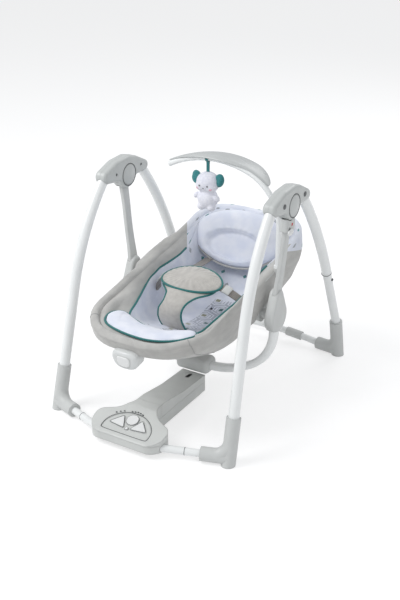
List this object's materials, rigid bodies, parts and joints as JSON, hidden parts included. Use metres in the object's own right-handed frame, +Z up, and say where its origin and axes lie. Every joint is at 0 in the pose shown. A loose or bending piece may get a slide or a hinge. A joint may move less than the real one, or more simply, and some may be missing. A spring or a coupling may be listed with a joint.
{
  "type": "baby swing",
  "caption": "Portable folding baby swing: A-frame legs on boots, console and spine base, hanging padded reclining seat, restraint, toy bar with canopy and soft toy.",
  "frame": {"origin": "on the floor under the middle of the bounding box", "axes": "+X across the swing to the child's left as seen from the front, +Y towards the head end, +Z up"},
  "size_m": [0.561, 0.7754, 0.6445],
  "materials": {
    "grey_plastic": "fine matt grain",
    "white_plastic": "satin",
    "white_paint": "powder coat, satin",
    "steel": "plated",
    "gear_plastic": "natural acetal",
    "electronics": "resin board",
    "lamp": "clear lens",
    "red_mark": "satin",
    "grey_fabric": "short plush pile",
    "white_fabric": "soft knit",
    "plush": "long pile",
    "teal_ribbon": "woven ribbon"
  },
  "bodies": {
    "front_frame": {"console_top": "grey_plastic", "console_base": "grey_plastic", "spine_cover": "grey_plastic", "control_panel": "white_plastic", "circuit_board": "electronics", "indicator_lights": "lamp", "battery_door": "grey_plastic", "batteries": "steel", "front_bar_tubes": "white_paint", "front_foot_left": "grey_plastic", "front_foot_right": "grey_plastic", "front_leg_left": "white_paint", "front_leg_right": "white_paint", "hub_outer_shell_left": "grey_plastic", "hub_outer_shell_right": "grey_plastic", "hub_inner_shell_left": "grey_plastic", "hub_inner_shell_right": "grey_plastic", "hub_caps": "grey_plastic", "leg_pins": "steel", "pivot_axles": "steel", "drive_motor": "steel"},
    "rear_frame": {"rear_leg_upper_left": "white_paint", "rear_leg_upper_right": "white_paint", "rear_leg_lower_left": "white_paint", "rear_leg_lower_right": "white_paint", "rear_foot_left": "grey_plastic", "rear_foot_right": "grey_plastic", "rear_bar_tubes": "white_paint", "rear_bar_sleeves": "grey_plastic"},
    "snap_button_left": {"rear_snap_button_left": "white_plastic"},
    "snap_button_right": {"rear_snap_button_right": "white_plastic"},
    "swing": {"swing_arm_left": "grey_plastic", "swing_arm_right": "grey_plastic", "arm_housing_left": "grey_plastic", "arm_housing_right": "grey_plastic", "under_tube": "white_paint", "dock_bracket": "grey_plastic", "lock_indicator": "red_mark"},
    "release_button": {"arm_release_button": "white_plastic"},
    "wheel": {"worm_wheel": "gear_plastic"},
    "worm": {"worm_shaft": "gear_plastic"},
    "seat": {"seat_bracket_left": "grey_plastic", "seat_bracket_right": "grey_plastic", "seat_frame": "white_paint", "seat_cover": "grey_fabric", "seat_liner": "white_fabric", "head_pillow": "white_fabric", "restraint_pad": "grey_fabric", "waist_straps": "grey_fabric", "strap_buckles": "grey_plastic", "vibration_unit": "grey_plastic"},
    "vibration_key": {"vibration_button": "white_plastic"},
    "toy_arm": {"toy_bar": "white_plastic", "toy_bar_canopy": "grey_plastic"},
    "ribbon": {"toy_ribbon": "teal_ribbon"},
    "toy": {"plush_toy": "plush"},
    "power_key": {"power_button": "grey_plastic"},
    "mode_key": {"mode_button": "grey_plastic"},
    "volume_key": {"volume_button": "grey_plastic"},
    "timer_key": {"timer_button": "grey_plastic"}
  },
  "joints": [
    {"name": "rear_frame_fold", "type": "hinge", "parent": "front_frame", "child": "rear_frame", "pos_m": [0, 0.071, 0.588], "axis": [-1, 0, 0], "range_deg": [0, 30]},
    {"name": "swing", "type": "hinge", "parent": "front_frame", "child": "swing", "pos_m": [0, 0.014, 0.574], "axis": [1, 0, 0], "range_deg": [-12, 12]},
    {"name": "seat_recline", "type": "hinge", "parent": "swing", "child": "seat", "pos_m": [0, 0.014, 0.264], "axis": [1, 0, 0], "range_deg": [0, 15]},
    {"name": "toy_bar_swivel", "type": "hinge", "parent": "seat", "child": "toy_arm", "pos_m": [0.188, 0.088, 0.35], "axis": [0, 0, -1], "range_deg": [0, 60]},
    {"name": "ribbon_swing", "type": "hinge", "parent": "toy_arm", "child": "ribbon", "pos_m": [-0.026, 0.088, 0.63156], "axis": [1, 0, 0], "range_deg": [-20, 20]},
    {"name": "toy_twist", "type": "hinge", "parent": "ribbon", "child": "toy", "pos_m": [-0.026, 0.088, 0.59], "axis": [0, 0, 1], "range_deg": [-45, 45]},
    {"name": "worm_wheel_turn", "type": "hinge", "parent": "front_frame", "child": "wheel", "pos_m": [0.236, 0.014, 0.574], "axis": [1, 0, 0], "continuous": true},
    {"name": "worm_turn", "type": "hinge", "parent": "front_frame", "child": "worm", "pos_m": [0.236, 0.014, 0.5966], "axis": [0, 1, 0], "continuous": true},
    {"name": "power_press", "type": "slide", "parent": "front_frame", "child": "power_key", "axis": [0, 0.309, -0.9511], "range_m": [0, 0.0015], "stiffness_N_per_m": 400},
    {"name": "mode_press", "type": "slide", "parent": "front_frame", "child": "mode_key", "axis": [0, 0.309, -0.9511], "range_m": [0, 0.0015], "stiffness_N_per_m": 400},
    {"name": "volume_press", "type": "slide", "parent": "front_frame", "child": "volume_key", "axis": [0, 0.309, -0.9511], "range_m": [0, 0.0015], "stiffness_N_per_m": 400},
    {"name": "timer_press", "type": "slide", "parent": "front_frame", "child": "timer_key", "axis": [0, 0.309, -0.9511], "range_m": [0, 0.0015], "stiffness_N_per_m": 400},
    {"name": "vibration_press", "type": "slide", "parent": "seat", "child": "vibration_key", "axis": [0, 0.986, 0.1668], "range_m": [0, 0.0015], "stiffness_N_per_m": 400},
    {"name": "arm_release_press", "type": "slide", "parent": "swing", "child": "release_button", "axis": [-1, 0, 0], "range_m": [0, 0.0025], "stiffness_N_per_m": 400},
    {"name": "snap_press_right", "type": "slide", "parent": "rear_frame", "child": "snap_button_right", "axis": [-1, 0, 0], "range_m": [0, 0.003], "stiffness_N_per_m": 400},
    {"name": "snap_press_left", "type": "slide", "parent": "rear_frame", "child": "snap_button_left", "axis": [1, 0, 0], "range_m": [0, 0.003], "stiffness_N_per_m": 400}
  ],
  "couplings": [
    {"joint": "worm_turn", "follows": "worm_wheel_turn", "ratio": 24}
  ]
}
